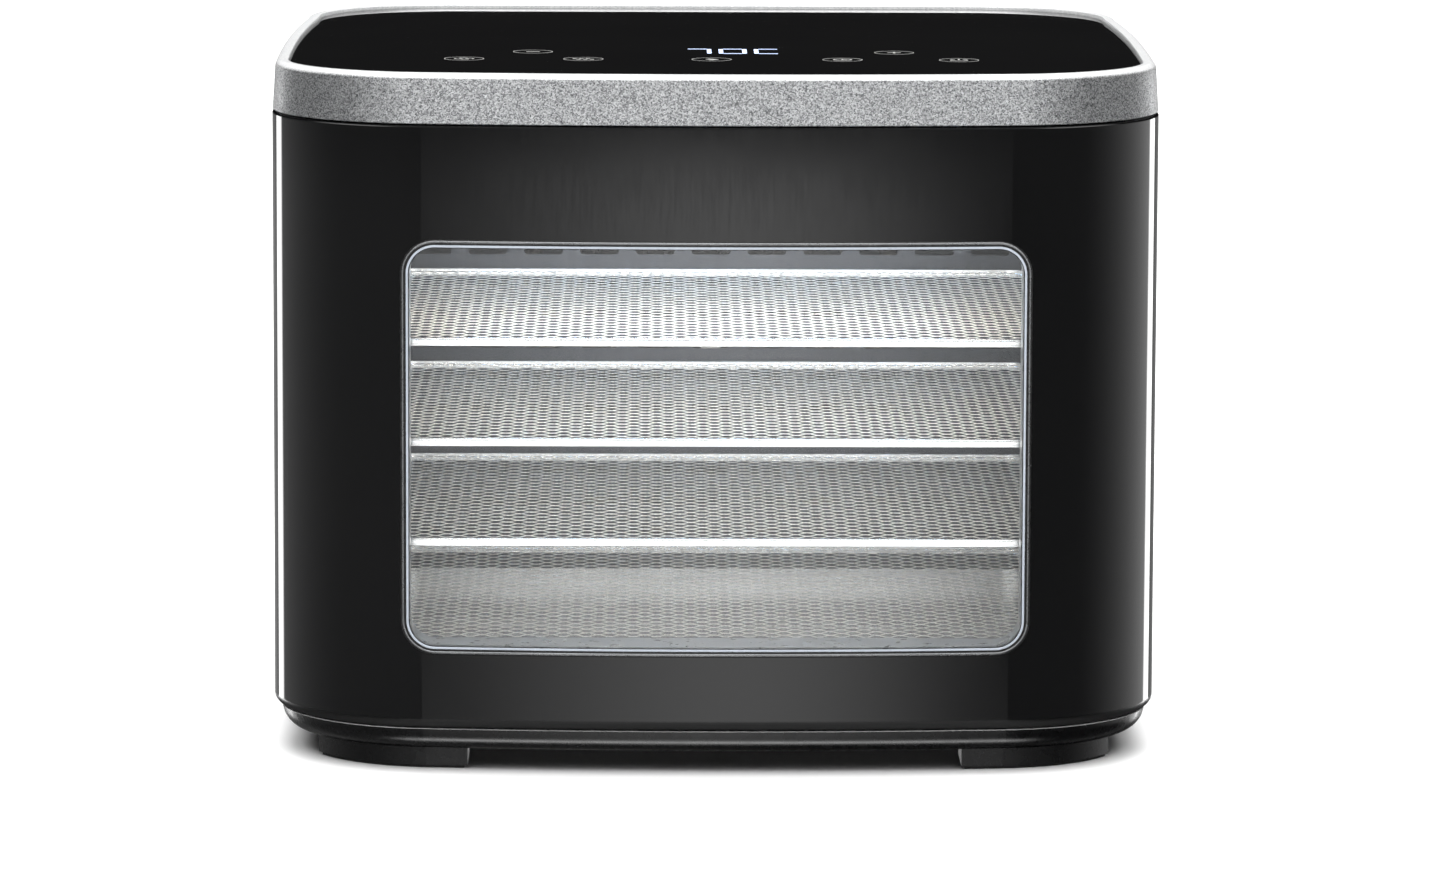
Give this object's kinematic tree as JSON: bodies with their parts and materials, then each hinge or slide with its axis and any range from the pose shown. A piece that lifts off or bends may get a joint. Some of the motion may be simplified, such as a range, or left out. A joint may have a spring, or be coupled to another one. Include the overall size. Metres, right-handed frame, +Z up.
{
  "type": "food dehydrator",
  "caption": "Front-loading food dehydrator: rounded gloss black housing, silver top ring, black touch panel, lift-off windowed door over sliding mesh trays, rear fan and heater.",
  "frame": {"origin": "on the resting plane under the middle of the housing's outline", "axes": "+Z up, -Y out through the door, +X to the right of a person facing the door"},
  "size_m": [0.34, 0.346, 0.266],
  "materials": {
    "gloss_black": "high gloss",
    "satin_black": "satin",
    "rubber": "matt",
    "ring_silver": "fine metallic with a polished rim",
    "black_glass": "polished, back printed",
    "window_clear": "clear, polished",
    "bezel_grey": "satin",
    "frame_grey": "satin",
    "chamber_steel": "bright sheet",
    "tray_steel": "polished",
    "screw_steel": "plain",
    "heater_steel": "heat darkened",
    "motor_iron": "laminated",
    "coil_copper": "enamelled winding",
    "bronze": "sintered",
    "board": "solder mask",
    "lamp_white": "satin",
    "lamp_lens": "frosted"
  },
  "bodies": {
    "housing": {"base_tub": "satin_black", "feet": "satin_black", "foot_pads": "rubber", "outer_shell": "gloss_black", "rear_cover": "satin_black", "front_collar": "satin_black", "door_gasket": "rubber", "strike_plates": "screw_steel", "top_ring": "ring_silver", "touch_glass": "black_glass", "top_deck": "satin_black", "touch_board": "board", "touch_springs": "screw_steel", "display_module": "lamp_white", "power_board": "board", "power_parts": "satin_black", "cavity_liner": "chamber_steel", "cavity_brackets": "chamber_steel", "rack_left": "chamber_steel", "rack_right": "chamber_steel", "back_baffle": "chamber_steel", "bulkhead": "chamber_steel", "heater_element": "heater_steel", "heater_clips": "chamber_steel", "motor_stator": "motor_iron", "motor_coil": "coil_copper", "motor_brackets": "chamber_steel", "motor_bushes": "bronze", "thermostat": "lamp_white", "thermal_fuse": "lamp_white", "air_sensor": "screw_steel", "lamp_holder": "lamp_white", "lamp_lens": "lamp_lens", "cord_gland": "rubber", "base_screws": "screw_steel", "cover_screws": "screw_steel", "motor_screws": "screw_steel", "deck_screws": "screw_steel"},
    "door": {"door_skin": "gloss_black", "door_inner_frame": "frame_grey", "window_pane": "window_clear", "window_bezel": "bezel_grey", "door_magnets": "screw_steel", "door_pins": "satin_black", "door_screws": "screw_steel"},
    "tray_1": {"tray_rim_1": "tray_steel", "tray_mesh_1": "tray_steel"},
    "tray_2": {"tray_rim_2": "tray_steel", "tray_mesh_2": "tray_steel"},
    "tray_3": {"tray_rim_3": "tray_steel", "tray_mesh_3": "tray_steel"},
    "tray_4": {"tray_rim_4": "tray_steel", "tray_mesh_4": "tray_steel"},
    "tray_5": {"tray_rim_5": "tray_steel", "tray_mesh_5": "tray_steel"},
    "drip_tray": {"drip_tray": "tray_steel"},
    "fan": {"impeller": "satin_black", "fan_shaft": "screw_steel", "fan_rotor": "motor_iron", "impeller_nut": "screw_steel"}
  },
  "joints": [
    {"name": "door_slide", "type": "slide", "parent": "housing", "child": "door", "axis": [0, -1, 0], "range_m": [0, 0.45]},
    {"name": "tray_1_slide", "type": "slide", "parent": "housing", "child": "tray_1", "axis": [0, -1, 0], "range_m": [0, 0.279]},
    {"name": "tray_2_slide", "type": "slide", "parent": "housing", "child": "tray_2", "axis": [0, -1, 0], "range_m": [0, 0.243]},
    {"name": "tray_3_slide", "type": "slide", "parent": "housing", "child": "tray_3", "axis": [0, -1, 0], "range_m": [0, 0.207]},
    {"name": "tray_4_slide", "type": "slide", "parent": "housing", "child": "tray_4", "axis": [0, -1, 0], "range_m": [0, 0.171]},
    {"name": "tray_5_slide", "type": "slide", "parent": "housing", "child": "tray_5", "axis": [0, -1, 0], "range_m": [0, 0.135]},
    {"name": "drip_tray_slide", "type": "slide", "parent": "housing", "child": "drip_tray", "axis": [0, -1, 0], "range_m": [0, 0.306]},
    {"name": "fan_spin", "type": "hinge", "parent": "housing", "child": "fan", "pos_m": [0, 0.1, 0.131], "axis": [0, 1, 0], "continuous": true}
  ],
  "couplings": [
    {"joint": "tray_1_slide", "follows": "door_slide", "ratio": 0.62},
    {"joint": "tray_2_slide", "follows": "door_slide", "ratio": 0.54},
    {"joint": "tray_3_slide", "follows": "door_slide", "ratio": 0.46},
    {"joint": "tray_4_slide", "follows": "door_slide", "ratio": 0.38},
    {"joint": "tray_5_slide", "follows": "door_slide", "ratio": 0.3},
    {"joint": "drip_tray_slide", "follows": "door_slide", "ratio": 0.68}
  ]
}
